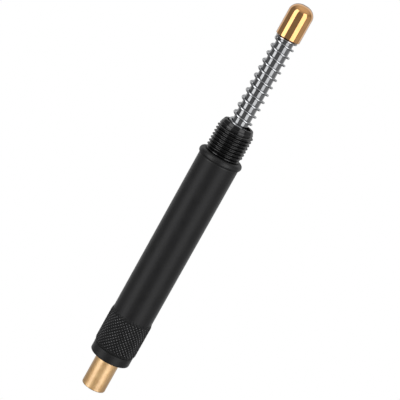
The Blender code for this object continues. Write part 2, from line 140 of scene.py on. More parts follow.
THREAD_FLATS = (0.14, 0.9)
KNURL_FLATS = (0.04, 0.78)
SKIN = 1.5  # a cut moves only what lies within this many depths of the crests

# How finely the round pieces are divided

KNURL_SAMPLES = 10  # points across and along each diamond
THREAD_SEGMENTS = 144
NECK_ROWS_PER_PITCH = 18
COLLAR_ROWS_PER_PITCH = 16
PLAIN_ROW_SPACING = 8.0 * MM
BEAD_STEPS = 44
DOME_STEPS = 24
COIL_POINTS_PER_TURN = 40.0
WIRE_SIDES = 14

# Soft boxes: name, azimuth from the camera's side and spread in degrees, share of the brightness

SOFT_BOXES = (("left soft box", -48.0, 34.0, 1.08), ("right soft box", 43.0, 39.0, 0.92))
SOFT_BOX_DISTANCE = 0.8
SOFT_BOX_HEIGHT = 1.8
FLOOR_SIZE = 12.0
FLOOR_DROP = 0.6  # below the nozzle, which leaves room for a look from underneath


# Settings of the add-on


class KnurlSettings(bpy.types.PropertyGroup):
    around: IntProperty(
        name="Diamonds Around", description="Diamonds in one turn of the grip", default=36, min=8
    )
    height: FloatProperty(
        name="Diamond Height", description="Length of one diamond along the pump",
        default=1.69 * MM, unit="LENGTH",
    )
    depth: FloatProperty(
        name="Groove Depth", description="From the crests to the grooves", default=0.52 * MM, unit="LENGTH"
    )
    length: FloatProperty(
        name="Grip Length", description="From the barrel's end to the run-out's end",
        default=17.0 * MM, unit="LENGTH",
    )
    chamfer: FloatProperty(
        name="Chamfer", description="Slope at the grip's front end", default=1.0 * MM, unit="LENGTH"
    )
    run_out: FloatProperty(
        name="Run-out", description="Slope down to the plain barrel", default=2.0 * MM, unit="LENGTH"
    )


class ThreadSettings(bpy.types.PropertyGroup):
    pitch: FloatProperty(
        name="Pitch", description="Distance between two crests", default=1.5 * MM, unit="LENGTH"
    )
    depth: FloatProperty(
        name="Depth", description="From crest to root", default=0.92 * MM, unit="LENGTH"
    )
    chamfer: FloatProperty(
        name="Chamfer", description="Bevel of the first crest", default=0.6 * MM, unit="LENGTH"
    )
    start: FloatProperty(name="Start", description="Where the neck's thread starts, in turns", default=0.42)
    nose: FloatProperty(
        name="Nose", description="Length of the neck above its thread", default=2.4 * MM, unit="LENGTH"
    )


class SpringSettings(bpy.types.PropertyGroup):
    wire: FloatProperty(
        name="Wire Radius", description="Half of the wire's thickness", default=0.475 * MM, unit="LENGTH"
    )
    pitch: FloatProperty(
        name="Pitch", description="Distance between two open coils", default=3.45 * MM, unit="LENGTH"
    )
    end_turns: FloatProperty(name="End Turns", description="Flat turns at each end", default=0.7)
    tip_angle: FloatProperty(
        name="Tip Angle", description="Where the wire ends under the knob",
        default=radians(166.0), subtype="ANGLE",
    )


def colour_setting(name, description, colour):
    return FloatVectorProperty(
        name=name, description=description, subtype="COLOR", size=3, min=0.0, max=1.0, default=colour
    )


class FinishSettings(bpy.types.PropertyGroup):
    anodised: colour_setting("Anodised", "Dye of the black anodised pieces", (0.0075, 0.0075, 0.0080))
    worn: colour_setting("Polished Edges", "Anodised crests rubbed by the hand", (0.16, 0.16, 0.164))
    satin_brass: colour_setting("Satin Brass", "The turned nozzle sleeve", (0.94, 0.62, 0.295))
    knob_brass: colour_setting("Polished Brass", "The knob", (0.93, 0.475, 0.15))
    steel: colour_setting("Spring Wire", "The return spring", (0.60, 0.61, 0.625))
    rod_steel: colour_setting("Ground Steel", "The rod", (0.335, 0.34, 0.348))
    rubber: colour_setting("Rubber", "Seals and bumpers", (0.0065, 0.0065, 0.0068))


class StageSettings(bpy.types.PropertyGroup):
    distance: FloatProperty(
        name="Camera Distance", description="From the camera to the pump", default=0.66, unit="LENGTH"
    )
    lens: FloatProperty(name="Lens", description="Focal length in millimetres", default=143.9)
    tilt: FloatProperty(
        name="Tilt", description="The camera's height above the pump's side",
        default=radians(13.5), subtype="ANGLE",
    )
    roll: FloatProperty(
        name="Roll", description="Leans the pump to the right in the picture",
        default=radians(29.2), subtype="ANGLE",
    )
    aim: FloatProperty(
        name="Aim Height", description="Point of the pump at the picture's middle",
        default=94.0 * MM, unit="LENGTH",
    )
    aside: FloatProperty(
        name="Aim Aside", description="How far the camera aims to the pump's right",
        default=1.03 * MM, unit="LENGTH",
    )
    brightness: FloatProperty(
        name="Soft Box Brightness", description="Radiance of the two soft boxes", default=1.72
    )
    room: FloatProperty(
        name="Room Brightness", description="Radiance of the dim room round the stage", default=0.21
    )
    backdrop: FloatProperty(
        name="Backdrop Brightness", description="Radiance of the white sheets behind the pump", default=0.7
    )


# Node trees


NUMBER = "NodeSocketFloat"
WHOLE_NUMBER = "NodeSocketInt"
GEOMETRY = "NodeSocketGeometry"
MATERIAL = "NodeSocketMaterial"


class Graph:
    """Adds nodes to a tree; an input takes a socket or a plain value."""

    def __init__(self, tree):
        self.tree = tree

    def feed(self, socket, value):
        if isinstance(value, bpy.types.NodeSocket):
            self.tree.links.new(value, socket)
        else:
            socket.default_value = value

    def node(self, kind, *values, named=None, **settings):
        made = self.tree.nodes.new(kind)
        for key, value in settings.items():
            setattr(made, key, value)
        for socket, value in zip(made.inputs, values):
            self.feed(socket, value)
        for name, value in (named or {}).items():
            self.feed(made.inputs[name], value)
        return made

    def add(self, kind, *values, named=None, **settings):
        return self.node(kind, *values, named=named, **settings).outputs[0]

    def math(self, operation, *values):
        return self.add("ShaderNodeMath", *values, operation=operation)

    def total(self, *values):
        result = values[0]
        for value in values[1:]:
            result = self.math("ADD", result, value)
        return result

    def split(self, vector):
        """The x, y and z of a vector."""
        return self.node("ShaderNodeSeparateXYZ", vector).outputs

    def radius(self, x, y):
        """Distance from the pump's axis."""
        squares = self.math("ADD", self.math("MULTIPLY", x, x), self.math("MULTIPLY", y, y))
        return self.math("SQRT", squares)

    def triangle_wave(self, value):
        """1 at whole numbers and 0 halfway between them."""
        doubled = self.math("MULTIPLY", self.math("FRACT", value), 2.0)
        return self.math("ABSOLUTE", self.math("SUBTRACT", doubled, 1.0))

    def ramp(self, value, low, high, start=0.0, end=1.0):
        """Goes from start to end as the value goes from low to high, and stays there outside."""
        return self.add("ShaderNodeMapRange", value, low, high, start, end)


def geometry_tree(name, inputs):
    """Empty geometry tree with named inputs, given as name: socket type."""
    tree = bpy.data.node_groups.new(name, "GeometryNodeTree")
    for label, kind in inputs.items():
        tree.interface.new_socket(name=label, in_out="INPUT", socket_type=kind)
    tree.interface.new_socket(name="Geometry", in_out="OUTPUT", socket_type=GEOMETRY)
    graph = Graph(tree)
    sockets = tree.nodes.new("NodeGroupInput").outputs
    return graph, {label: sockets[label] for label in inputs}


def end_tree(graph, geometry, material):
    """Ends a tree with plain geometry in one material."""
    realized = graph.add("GeometryNodeRealizeInstances", geometry)
    finished = graph.add("GeometryNodeSetMaterial", realized, named={"Material": material})
    output = graph.tree.nodes.new("NodeGroupOutput")
    graph.tree.links.new(finished, output.inputs[0])
    return graph.tree


def cut_to(graph, given, limit, low, high, inner):
    """Pulls the skin outside an inner radius in to the limit, between two heights."""
    x, y, z = graph.split(graph.add("GeometryNodeInputPosition"))
    radius = graph.radius(x, y)
    above = graph.math("GREATER_THAN", z, low)
    below = graph.math("LESS_THAN", z, high)
    outer = graph.math("GREATER_THAN", radius, inner)
    chosen = graph.math("MULTIPLY", graph.math("MULTIPLY", above, below), outer)
    share = graph.math("DIVIDE", graph.math("MINIMUM", radius, limit), radius)
    place = graph.add(
        "ShaderNodeCombineXYZ", graph.math("MULTIPLY", x, share), graph.math("MULTIPLY", y, share), z
    )
    named = {"Geometry": given, "Selection": chosen, "Position": place}
    return graph.add("GeometryNodeSetPosition", named=named)


def turns_and_height(graph):
    """Angle round the axis, in turns, and height along it."""
    x, y, z = graph.split(graph.add("GeometryNodeInputPosition"))
    return graph.math("DIVIDE", graph.math("ARCTAN2", y, x), 2 * pi), z


def thread_tree():
    """Right-hand V thread with flat crests and roots, cut into a turned body."""
    inputs = {
        "Geometry": GEOMETRY, "Bottom": NUMBER, "Top": NUMBER, "Pitch": NUMBER,
        "Crest Radius": NUMBER, "Depth": NUMBER, "Start": NUMBER, "Finish": MATERIAL,
    }
    graph, given = geometry_tree("Cut Thread", inputs)
    turns, z = turns_and_height(graph)
    height = graph.math("DIVIDE", z, given["Pitch"])
    phase = graph.math("SUBTRACT", height, graph.total(turns, given["Start"]))
    flank = graph.ramp(graph.triangle_wave(phase), *THREAD_FLATS)
    cut = graph.math("MULTIPLY", given["Depth"], graph.math("SUBTRACT", 1.0, flank))
    limit = graph.math("SUBTRACT", given["Crest Radius"], cut)
    inner = graph.math("SUBTRACT", given["Crest Radius"], graph.math("MULTIPLY", given["Depth"], SKIN))
    body = cut_to(graph, given["Geometry"], limit, given["Bottom"], given["Top"], inner)
    return end_tree(graph, body, given["Finish"])


def knurl_tree():
    """Diamond knurl with slightly flattened points, rolled into a turned body."""
    inputs = {
        "Geometry": GEOMETRY, "Bottom": NUMBER, "Top": NUMBER, "Around": NUMBER,
        "Diamond Height": NUMBER, "Crest Radius": NUMBER, "Depth": NUMBER, "Finish": MATERIAL,
    }
    graph, given = geometry_tree("Roll Knurl", inputs)
    turns, z = turns_and_height(graph)
    across = graph.math("MULTIPLY", turns, given["Around"])
    along = graph.math("DIVIDE", graph.math("SUBTRACT", z, given["Bottom"]), given["Diamond Height"])
    rising = graph.triangle_wave(graph.math("ADD", across, along))
    falling = graph.triangle_wave(graph.math("SUBTRACT", across, along))
    point = graph.ramp(graph.math("MINIMUM", rising, falling), *KNURL_FLATS)
    cut = graph.math("MULTIPLY", given["Depth"], graph.math("SUBTRACT", 1.0, point))
    limit = graph.math("SUBTRACT", given["Crest Radius"], cut)
    inner = graph.math("SUBTRACT", given["Crest Radius"], graph.math("MULTIPLY", given["Depth"], SKIN))
    body = cut_to(graph, given["Geometry"], limit, given["Bottom"], given["Top"], inner)
    return end_tree(graph, body, given["Finish"])


def coil_tree():
    """Left-hand coil of round wire with flat turns at both ends."""
    inputs = {
        "Radius": NUMBER, "Wire Radius": NUMBER, "Bottom": NUMBER, "Top": NUMBER, "Pitch": NUMBER,
        "End Turns": NUMBER, "Tip Angle": NUMBER, "Points Per Turn": NUMBER,
        "Sides": WHOLE_NUMBER, "Finish": MATERIAL,
    }
    graph, given = geometry_tree("Coil Spring", inputs)
    wire = given["Wire Radius"]
    first = graph.math("ADD", given["Bottom"], wire)
    rise = graph.math("SUBTRACT", graph.math("SUBTRACT", given["Top"], wire), first)
    open_turns = graph.math("DIVIDE", rise, given["Pitch"])
    total = graph.math("ADD", open_turns, graph.math("MULTIPLY", given["End Turns"], 2.0))
    count = graph.math("MULTIPLY", total, given["Points Per Turn"])
    line = graph.add("GeometryNodeCurvePrimitiveLine")
    dense = graph.add("GeometryNodeResampleCurve", named={"Curve": line, "Count": count})
    done = graph.math("MULTIPLY", graph.add("GeometryNodeSplineParameter"), total)
    opened = graph.math("SUBTRACT", done, given["End Turns"])
    opened = graph.math("MINIMUM", graph.math("MAXIMUM", opened, 0.0), open_turns)
    height = graph.math("ADD", first, graph.math("MULTIPLY", opened, given["Pitch"]))
    turned = graph.math("MULTIPLY", graph.math("SUBTRACT", total, done), 2 * pi)
    angle = graph.math("ADD", given["Tip Angle"], turned)
    place = graph.add(
        "ShaderNodeCombineXYZ",
        graph.math("MULTIPLY", graph.math("COSINE", angle), given["Radius"]),
        graph.math("MULTIPLY", graph.math("SINE", angle), given["Radius"]),
        height,
    )
    path = graph.add("GeometryNodeSetPosition", named={"Geometry": dense, "Position": place})
    named = {"Resolution": given["Sides"], "Radius": wire}
    section = graph.add("GeometryNodeCurvePrimitiveCircle", named=named)
    named = {"Curve": path, "Profile Curve": section, "Fill Caps": True}
    body = graph.add("GeometryNodeCurveToMesh", named=named)
    smooth = graph.add("GeometryNodeSetShadeSmooth", body)
    return end_tree(graph, smooth, given["Finish"])


def grow(piece, tree, values):
    """Runs a geometry tree on a piece and keeps the result as its plain mesh."""
    modifier = piece.modifiers.new(tree.name, "NODES")
    modifier.node_group = tree
    for item in tree.interface.items_tree:
        if item.in_out == "INPUT" and item.name in values:
            modifier[item.identifier] = values[item.name]
    evaluated = piece.evaluated_get(bpy.context.evaluated_depsgraph_get())
    mesh = bpy.data.meshes.new_from_object(evaluated)
    piece.modifiers.remove(modifier)
    if not mesh.polygons:
        raise RuntimeError(f"{tree.name} left {piece.name} empty")
    old = piece.data
    piece.data = mesh
    mesh.name = piece.name
    bpy.data.meshes.remove(old)


# Turned shapes


def soften(corners, steps=5):
    """Outline with rounded corners: each corner is (radius, height) or (radius, height, rounding)."""
    points = []
    for index, corner in enumerate(corners):
        here = Vector(corner[:2])
        rounding = corner[2] if len(corner) > 2 else 0.0
        back = Vector(corners[index - 1][:2]) - here
        ahead = Vector(corners[(index + 1) % len(corners)][:2]) - here
        if rounding == 0.0:
            points.append(here)
            continue
        half = back.angle(ahead) / 2
        reach = min(rounding / tan(half), back.length * 0.49, ahead.length * 0.49)
        bow = reach * tan(half)
        middle = here + (back.normalized() + ahead.normalized()).normalized() * (bow / sin(half))
        start = here + back.normalized() * reach - middle
        end = here + ahead.normalized() * reach - middle
        for step in range(steps + 1):
            mixed = start.lerp(end, step / steps).normalized() * bow
            points.append(middle + mixed)
    return [tuple(point) for point in points]


def fill_rows(outline, low, high, spacing):
    """Adds points along the outline's falling stretches between two heights."""
    rows = []
    for (r1, z1), (r2, z2) in zip(outline, outline[1:] + outline[:1]):
        rows.append((r1, z1))
        if z1 > z2 >= low - TINY and z1 <= high + TINY:
            steps = max(1, round((z1 - z2) / spacing))
            for step in range(1, steps):
                rows.append((r1 + (r2 - r1) * step / steps, z1 + (z2 - z1) * step / steps))
    return rows


def lathe(name, outline, segments=128, closed=True):
    """Turned body; the outline runs down the outer side, and up the bore if it has one."""
    shape = bmesh.new()
    rings = []
    for radius, height in outline:
        if radius < TINY:
            rings.append([shape.verts.new((0.0, 0.0, height))] * segments)
            continue
        ring = []
        for step in range(segments):
            angle = 2 * pi * step / segments
            ring.append(shape.verts.new((radius * cos(angle), radius * sin(angle), height)))
        rings.append(ring)
    pairs = list(zip(rings, rings[1:]))
    if closed:
        pairs.append((rings[-1], rings[0]))
    for upper, lower in pairs:
        for step in range(segments):
            ahead = (step + 1) % segments
            corners = []
            for vert in (upper[step], lower[step], lower[ahead], upper[ahead]):
                if vert not in corners:
                    corners.append(vert)
            if len(corners) > 2:
                shape.faces.new(corners)
    mesh = bpy.data.meshes.new(name)
    shape.to_mesh(mesh)
    shape.free()
    piece = bpy.data.objects.new(name, mesh)
    bpy.context.scene.collection.objects.link(piece)
    return piece


def smooth(piece, sharp_above=28.0):
    """Smooth shading, with edges kept sharp above an angle in degrees."""
    piece.data.shade_smooth()
    piece.data.set_sharp_from_angle(angle=radians(sharp_above))
    return piece


def split_quads(piece):
    """Splits each face along its shorter diagonal, which follows grooves and ridges."""
    shape = bmesh.new()
    shape.from_mesh(piece.data)
    bmesh.ops.triangulate(shape, faces=shape.faces[:], quad_method="SHORT_EDGE")
    shape.to_mesh(piece.data)
    shape.free()
    return piece


def wear(piece, material):
    """Gives a piece one material."""
    piece.data.materials.clear()
    piece.data.materials.append(material)
    return piece


def settle(piece, body, *nodes, slot):
    """Parents a finished piece to its body's empty and hides the CAD nodes that it replaces."""
    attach(piece, body)
    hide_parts(*nodes)


# Finishes


class Finish(Graph):
    """A metal, rubber or plastic surface built from nodes; its coordinates are in millimetres."""

    def __init__(self, name):
        self.material = bpy.data.materials.new(name)
        self.material.use_nodes = True
        super().__init__(self.material.node_tree)
        self.shader = self.tree.nodes["Principled BSDF"]
        point = self.node("ShaderNodeTexCoord").outputs["Object"]
        self.point = self.add("ShaderNodeVectorMath", point, operation="MULTIPLY")
        self.point.node.inputs[1].default_value = (1 / MM, 1 / MM, 1 / MM)

    def set(self, name, value):
        self.feed(self.shader.inputs[name], value)

    def stretched(self, x, y, z):
        scaled = self.add("ShaderNodeVectorMath", self.point, operation="MULTIPLY")
        scaled.node.inputs[1].default_value = (x, y, z)
        return scaled

    def noise(self, vector, scale, detail=2.0, roughness=0.5):
        named = {"Vector": vector, "Scale": scale, "Detail": detail, "Roughness": roughness}
        return self.add("ShaderNodeTexNoise", named=named)

    def speckles(self, vector, scale):
        return self.add("ShaderNodeTexVoronoi", named={"Vector": vector, "Scale": scale})

    def mix(self, share, first, second):
        """Blends two colours; sockets 6 and 7 are the colour inputs of the Mix node, 2 its output."""
        node = self.node("ShaderNodeMix", data_type="RGBA")
        for index, value in ((0, share), (6, first), (7, second)):
            if not isinstance(value, (bpy.types.NodeSocket, float)):
                value = (*value[:3], 1.0)
            self.feed(node.inputs[index], value)
        return node.outputs[2]

    def bump(self, height, depth_mm, strength):
        named = {"Height": height, "Distance": depth_mm * MM, "Strength": strength}
        return self.add("ShaderNodeBump", named=named)

    def turning_lines(self, per_mm, wander=0.12):
        """Fine rings that a lathe tool leaves round the axis."""
        x, y, z = self.split(self.point)
        radius = self.radius(x, y)
        slow = self.noise(self.stretched(0.05, 0.05, 0.05), 1.0)
        place = self.add("ShaderNodeCombineXYZ", self.math("MULTIPLY", slow, wander), radius, z)
        return self.noise(place, per_mm, detail=3.0, roughness=0.65)

    def crest_share(self, radius_mm, width_mm):
        """1 on the outermost skin of a knurl or thread, 0 below it."""
        x, y, z = self.split(self.point)
        return self.ramp(self.radius(x, y), radius_mm - width_mm, radius_mm - width_mm * 0.2)


def finish_settings():
    return bpy.context.scene.pump_finishes


def black_anodised(name, crest_radius=None, crest_width=0.13 * MM, gloss=0.0, rub=1.0, haze=0.2):
    """Dyed aluminium: fine grain, faint cloudiness, and crests, if it has any, rubbed brighter."""
    colours = finish_settings()
    finish = Finish(name)
    cloud = finish.noise(finish.point, 0.22, detail=3.0)
    grain = finish.noise(finish.point, 9.0, detail=4.0, roughness=0.7)
    deep = tuple(c * (1.0 - gloss) for c in colours.anodised)
    dye = finish.mix(finish.ramp(cloud, 0.3, 0.7), deep, tuple(c * 1.35 for c in deep))
    rough = finish.total(
        finish.ramp(cloud, 0.3, 0.7, 0.42, 0.47), finish.ramp(grain, 0.3, 0.7, -0.03, 0.04), -gloss
    )
    if crest_radius:
        crest = finish.crest_share(crest_radius / MM, crest_width / MM)
        rubbed = finish.math("MULTIPLY", crest, finish.ramp(cloud, 0.25, 0.75, 0.35 * rub, rub))
        dye = finish.mix(rubbed, dye, tuple(colours.worn))
        rough = finish.math("SUBTRACT", rough, finish.math("MULTIPLY", rubbed, 0.12))
    finish.set("Base Color", dye)
    finish.set("Roughness", rough)
    finish.set("Metallic", 0.35)
    finish.set("Specular IOR Level", 0.42 + 1.6 * gloss)
    finish.set("Sheen Weight", haze)
    finish.set("Sheen Roughness", 0.35)
    finish.set("Normal", finish.bump(grain, 0.006, 0.5))
    return finish.material


def brass(name, colour, roughness, lines_per_mm, line_depth, lacquer_roughness):
    """Turned brass: lathe rings, a faint cloud of tarnish, and a coat of clear lacquer."""
    finish = Finish(name)
    rings = finish.turning_lines(lines_per_mm)
    cloud = finish.noise(finish.point, 0.35, detail=4.0)
    pale = tuple(min(1.0, c * 1.08) for c in colour)
    deep = tuple(c * k for c, k in zip(colour, (0.90, 0.84, 0.76)))
    finish.set("Base Color", finish.mix(finish.ramp(cloud, 0.3, 0.75), pale, deep))
    low, high = roughness
    rough = finish.total(finish.ramp(cloud, 0.3, 0.7, low, high), finish.ramp(rings, 0.3, 0.7, 0.0, 0.04))
    finish.set("Roughness", rough)
    finish.set("Metallic", 1.0)
    finish.set("Coat Weight", 1.0)
    finish.set("Coat Roughness", lacquer_roughness)
    finish.set("Coat IOR", 1.75)
    finish.set("Normal", finish.bump(rings, line_depth, 0.5))
    return finish.material


def steel(name, colour, roughness, streak=(1.2, 1.2, 0.05), scratch_depth=0.002):
    """Bare metal with fine scuffs, stretched where streak is small, and a faint cloud of handling."""
    finish = Finish(name)
    scuffs = finish.noise(finish.stretched(*streak), 6.0, detail=4.0, roughness=0.7)
    cloud = finish.noise(finish.point, 0.4, detail=3.0)
    dull = tuple(c * 0.82 for c in colour)
    finish.set("Base Color", finish.mix(finish.ramp(cloud, 0.35, 0.8), colour, dull))
    low, high = roughness
    rough = finish.total(finish.ramp(cloud, 0.3, 0.7, low, high), finish.ramp(scuffs, 0.4, 0.8, 0.0, 0.06))
    finish.set("Roughness", rough)
    finish.set("Metallic", 1.0)
    finish.set("Normal", finish.bump(scuffs, scratch_depth, 0.5))
    return finish.material


def moulded_rubber(name):
    """Matte rubber with bloom and fine pores."""
    colours = finish_settings()
    finish = Finish(name)
    bloom = finish.noise(finish.point, 0.5, detail=4.0)
    pores = finish.noise(finish.point, 12.0, detail=3.0)
    pale = tuple(c * 1.7 for c in colours.rubber)
    finish.set("Base Color", finish.mix(finish.ramp(bloom, 0.35, 0.8), tuple(colours.rubber), pale))
    finish.set("Roughness", finish.ramp(pores, 0.3, 0.7, 0.32, 0.42))
    finish.set("Specular IOR Level", 0.42)
    finish.set("Normal", finish.bump(pores, 0.004, 0.4))
    return finish.material


def white_ptfe(name):
    """Waxy fluoropolymer with faint turning rings."""
    finish = Finish(name)
    rings = finish.turning_lines(6.0)
    cloud = finish.noise(finish.point, 0.6)
    clean, aged = (0.86, 0.86, 0.84), (0.78, 0.77, 0.73)
    finish.set("Base Color", finish.mix(finish.ramp(cloud, 0.3, 0.8), clean, aged))
    finish.set("Roughness", finish.ramp(rings, 0.3, 0.7, 0.38, 0.5))
    finish.set("Subsurface Weight", 0.15)
    finish.set("Subsurface Radius", (0.6 * MM, 0.6 * MM, 0.6 * MM))
    finish.set("Normal", finish.bump(rings, 0.01, 0.5))
    return finish.material


def zinc_plate(name):
    """Zinc plating: soft crystalline mottling over a rolled surface."""
    finish = Finish(name)
    mottle = finish.speckles(finish.point, 1.4)
    cloud = finish.noise(finish.point, 2.5, detail=3.0)
    bright, dull = (0.60, 0.61, 0.63), (0.48, 0.49, 0.52)
    finish.set("Base Color", finish.mix(finish.ramp(mottle, 0.1, 0.8), bright, dull))
    finish.set("Roughness", finish.ramp(cloud, 0.3, 0.7, 0.24, 0.38))
    finish.set("Metallic", 1.0)
    finish.set("Normal", finish.bump(cloud, 0.006, 0.4))
    return finish.material


def sintered_bronze(name):
    """Oil-filled bronze with open pores."""
    finish = Finish(name)
    pores = finish.ramp(finish.speckles(finish.point, 5.0), 0.12, 0.3)
    oily, bright = (0.09, 0.05, 0.03), (0.52, 0.32, 0.17)
    finish.set("Base Color", finish.mix(pores, oily, bright))
    finish.set("Roughness", finish.ramp(pores, 0.0, 1.0, 0.75, 0.42))
    finish.set("Metallic", 0.9)
    finish.set("Normal", finish.bump(pores, 0.02, 0.7))
    return finish.material


def finish_named(name):
    """The finish of that name, made when it is first asked for."""
    colours = finish_settings()
    makers = {
        "anodised barrel": lambda: black_anodised(name, barrel.radius),
        "anodised neck": lambda: black_anodised(
            name, neck.radius, crest_width=0.1 * MM, gloss=0.3, rub=0.08, haze=0.0
        ),
        "anodised collar": lambda: black_anodised(name),
        "satin brass": lambda: brass(
            name, tuple(colours.satin_brass), roughness=(0.5, 0.55), lines_per_mm=7.0,
            line_depth=0.006, lacquer_roughness=0.25,
        ),
        "polished brass": lambda: brass(
            name, tuple(colours.knob_brass), roughness=(0.04, 0.07), lines_per_mm=10.0,
            line_depth=0.0006, lacquer_roughness=0.03,
        ),
        "ground rod": lambda: steel(
            name, tuple(colours.rod_steel), roughness=(0.05, 0.09), scratch_depth=0.001
        ),
        "spring wire": lambda: steel(
            name, tuple(colours.steel), roughness=(0.1, 0.15), streak=(1.0, 1.0, 1.0)
        ),
        "spring steel": lambda: steel(
            name, (0.11, 0.11, 0.14), roughness=(0.28, 0.4), streak=(1.0, 1.0, 1.0)
        ),
        "turned aluminium": lambda: steel(
            name, (0.74, 0.74, 0.76), roughness=(0.26, 0.36), streak=(0.05, 0.05, 3.0), scratch_depth=0.005
        ),
        "rubber": lambda: moulded_rubber(name),
        "PTFE": lambda: white_ptfe(name),
        "zinc plate": lambda: zinc_plate(name),
        "bronze": lambda: sintered_bronze(name),
    }
    return bpy.data.materials.get(name) or makers[name]()


# Operators


class PUMP_OT_barrel(bpy.types.Operator):
    """Turn the barrel and roll the diamond knurl into its grip"""

    bl_idname = "pump.barrel"
    bl_label = "Barrel"

    def execute(self, context):
        knurl = context.scene.pump_knurl
        grip_top = barrel.bottom + knurl.length
        corners = [
            (BARREL_RADIUS, barrel.top, 0.04 * MM),
            (BARREL_RADIUS, grip_top),
            (barrel.radius, grip_top - knurl.run_out),
            (barrel.radius, barrel.bottom + knurl.chamfer),
            (BARREL_RADIUS, barrel.bottom),
            (BORE_RADIUS, barrel.bottom, 0.2 * MM),
            (BORE_RADIUS, barrel.top, 0.2 * MM),
        ]
        rows = fill_rows(soften(corners), barrel.bottom, grip_top, knurl.height / KNURL_SAMPLES)
        rows = fill_rows(rows, grip_top, barrel.top, PLAIN_ROW_SPACING)
        piece = lathe("knurled_barrel", rows, segments=knurl.around * KNURL_SAMPLES)
        values = {
            "Bottom": barrel.bottom - MM, "Top": grip_top, "Around": float(knurl.around),
            "Diamond Height": knurl.height, "Crest Radius": barrel.radius, "Depth": knurl.depth,
            "Finish": finish_named("anodised barrel"),
        }
        grow(piece, knurl_tree(), values)
        smooth(split_quads(piece), sharp_above=24.0)
        settle(piece, "barrel", "barrel_tube", slot="black_anodised")
        return {"FINISHED"}


class PUMP_OT_neck(bpy.types.Operator):
    """Turn the neck and cut its outside thread"""

    bl_idname = "pump.neck"
    bl_label = "Threaded Neck"

    def execute(self, context):
        thread = context.scene.pump_threads
        thread_top = neck.top - thread.nose
        shoulder = neck.radius - thread.chamfer
        root = neck.radius - thread.depth
        rim = MOUTH_RADIUS + RIM_WALL
        ridge = thread_top + RIDGE_HEIGHT
        land = root + LAND_STEP
        land_top = THREAD_BOTTOM + LAND_HEIGHT
        relief_middle = land_top + 0.35 * MM
        relief_top = land_top + 1.1 * MM
        cut_bottom = land_top + 0.6 * MM
        cut_top = ridge - 0.3 * MM
        groove = bead.radius - (bead.top - bead.bottom) - GAP
        mouth_floor = seat_washer.bottom - GAP
        corners = [
            # nose, with a turned line just above its ridge
            (rim, neck.top, 0.35 * MM),
            (shoulder - 0.35 * MM, ridge + 0.35 * MM),
            (shoulder - 0.4 * MM, ridge + 0.2 * MM),
            (shoulder - 0.15 * MM, ridge, 0.1 * MM),
            (shoulder, thread_top, 0.2 * MM),
            # blank that the thread is cut into, with a V groove and a land at its foot
            (neck.radius, thread_top - thread.chamfer),
            (neck.radius, relief_top),
            (root - 0.1 * MM, relief_middle),
            (land, land_top),
            (land, THREAD_BOTTOM),
            # groove for the O-ring, spigot, bore and mouth
            (groove, THREAD_BOTTOM, 0.2 * MM),
            (groove, barrel.top, 0.3 * MM),
            (SPIGOT_RADIUS, barrel.top),
            (SPIGOT_RADIUS, neck.bottom, 0.6 * MM),
            (NECK_BORE_RADIUS, neck.bottom, 0.3 * MM),
            (NECK_BORE_RADIUS, mouth_floor, 0.1 * MM),
            (MOUTH_RADIUS, mouth_floor, 0.2 * MM),
            (MOUTH_RADIUS, neck.top, 0.3 * MM),
        ]
        rows = fill_rows(soften(corners), THREAD_BOTTOM, neck.top, thread.pitch / NECK_ROWS_PER_PITCH)
        piece = lathe("neck_with_thread", rows, segments=THREAD_SEGMENTS)
        values = {
            "Bottom": cut_bottom, "Top": cut_top,
            "Pitch": thread.pitch, "Start": thread.start, "Crest Radius": neck.radius,
            "Depth": thread.depth, "Finish": finish_named("anodised neck"),
        }
        grow(piece, thread_tree(), values)
        smooth(split_quads(piece))
        settle(piece, "barrel", "threaded_neck", slot="black_anodised")
        return {"FINISHED"}


class PUMP_OT_bead(bpy.types.Operator):
    """Mould the O-ring that sits between barrel and thread"""

    bl_idname = "pump.bead"
    bl_label = "Neck O-ring"

    def execute(self, context):
        half = (bead.top - bead.bottom) / 2
        middle = bead.radius - half
        height = (bead.top + bead.bottom) / 2
        foot = barrel.top + GAP * 0.1
        lip = acos((BARREL_RADIUS - middle) / half)  # the round ends here, over the barrel's edge
        outline = []
        for step in range(BEAD_STEPS + 1):
            angle = pi + lip - (pi + 2 * lip) * step / BEAD_STEPS
            outline.append((middle + half * cos(angle), height + half * sin(angle)))
        outline += [(outline[-1][0], foot), (outline[0][0], foot)]
        piece = smooth(wear(lathe("neck_seal", outline), finish_named("rubber")))
        settle(piece, "barrel", "neck_o_ring", slot="black_rubber")
        return {"FINISHED"}


class PUMP_OT_spring(bpy.types.Operator):
    """Wind the return spring"""

    bl_idname = "pump.spring"
    bl_label = "Return Spring"

    def execute(self, context):
        settings = context.scene.pump_spring
        piece = bpy.data.objects.new("coil_spring", bpy.data.meshes.new("coil_spring"))
        context.scene.collection.objects.link(piece)
        values = {
            "Radius": rod.radius + GAP + settings.wire, "Wire Radius": settings.wire,
            "Bottom": spring.bottom, "Top": spring.top, "Pitch": settings.pitch,
            "End Turns": settings.end_turns, "Tip Angle": settings.tip_angle,
            "Points Per Turn": COIL_POINTS_PER_TURN, "Sides": WIRE_SIDES,
            "Finish": finish_named("spring wire"),
        }
        grow(piece, coil_tree(), values)
        settle(piece, "barrel", "return_spring", slot="bright_steel")
        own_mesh(piece)
        return {"FINISHED"}


